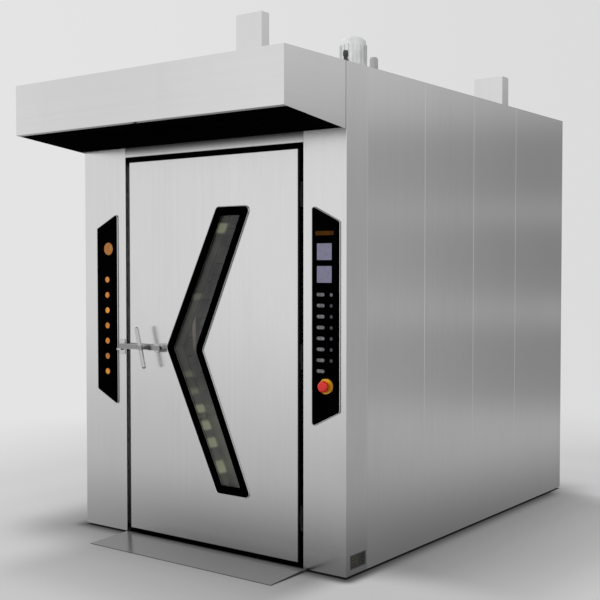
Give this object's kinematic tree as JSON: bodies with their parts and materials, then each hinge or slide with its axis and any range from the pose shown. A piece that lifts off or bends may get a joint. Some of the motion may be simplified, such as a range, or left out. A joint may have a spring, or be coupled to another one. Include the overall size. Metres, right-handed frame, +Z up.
{
  "type": "rotating rack oven",
  "caption": "Walk-up bakery oven whose wheeled tray rack hangs from a turning shaft behind a hinged door with a bent window.",
  "frame": {"origin": "centre of the oven's footprint, hood included, on the floor", "axes": "+X to the right as seen from the door, +Y from the door to the rear, +Z up"},
  "size_m": [1.77, 2.97, 2.678],
  "materials": {
    "rubber_feet": "matt black levelling pads",
    "painted_base": "dark grey painted floor slab",
    "front_steel": "brushed stainless, fine upright grain",
    "side_steel": "brushed stainless casing panels",
    "roof_steel": "brushed stainless",
    "mineral_wool": "pressed mineral wool slab",
    "frame_steel": "satin stainless, slightly heat dulled",
    "liner_steel": "satin stainless, slightly heat dulled",
    "heat_steel": "heat resisting steel, oxidised",
    "motor_paint": "blue-grey machine enamel",
    "burner_paint": "red enamel",
    "steam_iron": "cast iron steam cascade",
    "board_plastic": "circuit board laminate",
    "hood_steel": "brushed stainless, fine level grain",
    "black_paint": "matt black coated sheet",
    "duct_steel": "bright stainless duct",
    "drive_paint": "light grey motor enamel",
    "belt_rubber": "black flat belt",
    "bearing_iron": "painted bearing housing",
    "gland_plastic": "black nylon gland",
    "ramp_steel": "polished stainless ramp",
    "vent_plastic": "dark grey louvre plate",
    "lamp_glass": "warm lamp cover glass",
    "black_glass": "black gloss control glass",
    "amber_lights": "amber light lenses",
    "display_film": "lavender display film",
    "key_print": "pale grey printed touch keys",
    "yellow_plastic": "yellow collar",
    "polished_steel": "polished stainless",
    "hinge_steel": "satin stainless hinge in the shadow gap",
    "black_border": "black gloss window border",
    "window_pane": "tinted heat glass",
    "seal_rubber": "black silicone seal",
    "shaft_steel": "turned steel",
    "rack_steel": "satin stainless angle",
    "red_plastic": "red mushroom head",
    "fork_steel": "zinc plated fork",
    "wheel_resin": "heat resisting resin wheel"
  },
  "bodies": {
    "casing": {"levelling_feet": "rubber_feet", "floor_slab": "painted_base", "left_pillar": "front_steel", "right_pillar": "front_steel", "front_header": "front_steel", "left_side_panels": "side_steel", "right_side_panels": "side_steel", "rear_casing": "side_steel", "roof_panels": "roof_steel", "wall_insulation": "mineral_wool", "door_frame": "frame_steel", "chamber_side_walls": "liner_steel", "chamber_rear_wall": "liner_steel", "chamber_ceiling": "liner_steel", "chamber_floor": "liner_steel", "heat_exchanger": "heat_steel", "circulation_motor": "motor_paint", "burner": "burner_paint", "steam_generator": "steam_iron", "control_board": "board_plastic", "hood_shell": "hood_steel", "hood_underside": "black_paint", "hood_duct": "duct_steel", "flue_duct": "duct_steel", "drive_motor": "drive_paint", "drive_belt": "belt_rubber", "drive_bearing": "bearing_iron", "cable_gland": "gland_plastic", "entry_ramp": "ramp_steel", "service_vent": "vent_plastic", "chamber_lamps": "lamp_glass", "glass_panels": "black_glass", "status_lights": "amber_lights", "displays": "display_film", "touch_keys": "key_print", "estop_collar": "yellow_plastic", "latch_keeper": "polished_steel", "frame_hinges": "hinge_steel"},
    "rack": {"rack_shaft": "shaft_steel", "rack_carrier": "shaft_steel", "rack_frame": "rack_steel"},
    "door": {"door_outer_skin": "front_steel", "door_core": "mineral_wool", "door_inner_skin": "liner_steel", "window_frame": "black_border", "window_glass": "window_pane", "door_seal": "seal_rubber", "door_hinges": "hinge_steel"},
    "latch": {"latch_lever": "polished_steel", "latch_spindle": "polished_steel"},
    "drive_pulley": {"motor_pulley": "shaft_steel"},
    "fan": {"circulation_fan": "heat_steel"},
    "damper": {"steam_damper": "duct_steel"},
    "stop_button": {"estop_button": "red_plastic"},
    "swivel_left": {"swivel_fork_left": "fork_steel"},
    "swivel_right": {"swivel_fork_right": "fork_steel"},
    "wheel_fl": {"wheel_front_left": "wheel_resin"},
    "wheel_fr": {"wheel_front_right": "wheel_resin"},
    "wheel_rl": {"wheel_rear_left": "wheel_resin"},
    "wheel_rr": {"wheel_rear_right": "wheel_resin"}
  },
  "joints": [
    {"name": "door_swing", "type": "hinge", "parent": "casing", "child": "door", "pos_m": [0.6255, -1.009, 1.025], "axis": [0, 0, 1], "range_deg": [0, 105]},
    {"name": "latch_turn", "type": "hinge", "parent": "door", "child": "latch", "pos_m": [-0.3, -1.025, 1.026], "axis": [0, 1, 0], "range_deg": [0, 45]},
    {"name": "rack_spin", "type": "hinge", "parent": "casing", "child": "rack", "pos_m": [0, -0.165, 1], "axis": [0, 0, 1], "continuous": true},
    {"name": "motor_spin", "type": "hinge", "parent": "casing", "child": "drive_pulley", "pos_m": [0.5, -0.385, 2.22], "axis": [0, 0, 1], "continuous": true},
    {"name": "fan_spin", "type": "hinge", "parent": "casing", "child": "fan", "pos_m": [-0.33, 0.885, 1.65], "axis": [0, 1, 0], "continuous": true},
    {"name": "damper_turn", "type": "hinge", "parent": "casing", "child": "damper", "pos_m": [0.5, 1.229, 2.46], "axis": [1, 0, 0], "range_deg": [0, 90]},
    {"name": "stop_press", "type": "slide", "parent": "casing", "child": "stop_button", "axis": [0, 1, 0], "range_m": [0, 0.005]},
    {"name": "swivel_left_turn", "type": "hinge", "parent": "rack", "child": "swivel_left", "pos_m": [-0.33, -0.585, 0.17], "axis": [0, 0, 1], "continuous": true},
    {"name": "swivel_right_turn", "type": "hinge", "parent": "rack", "child": "swivel_right", "pos_m": [0.33, -0.585, 0.17], "axis": [0, 0, 1], "continuous": true},
    {"name": "wheel_fl_roll", "type": "hinge", "parent": "swivel_left", "child": "wheel_fl", "pos_m": [-0.33, -0.555, 0.09], "axis": [1, 0, 0], "continuous": true},
    {"name": "wheel_fr_roll", "type": "hinge", "parent": "swivel_right", "child": "wheel_fr", "pos_m": [0.33, -0.555, 0.09], "axis": [1, 0, 0], "continuous": true},
    {"name": "wheel_rl_roll", "type": "hinge", "parent": "rack", "child": "wheel_rl", "pos_m": [-0.33, 0.255, 0.0903], "axis": [1, 0, 0], "continuous": true},
    {"name": "wheel_rr_roll", "type": "hinge", "parent": "rack", "child": "wheel_rr", "pos_m": [0.33, 0.255, 0.0903], "axis": [1, 0, 0], "continuous": true}
  ],
  "couplings": [
    {"joint": "motor_spin", "follows": "rack_spin", "ratio": 3}
  ]
}
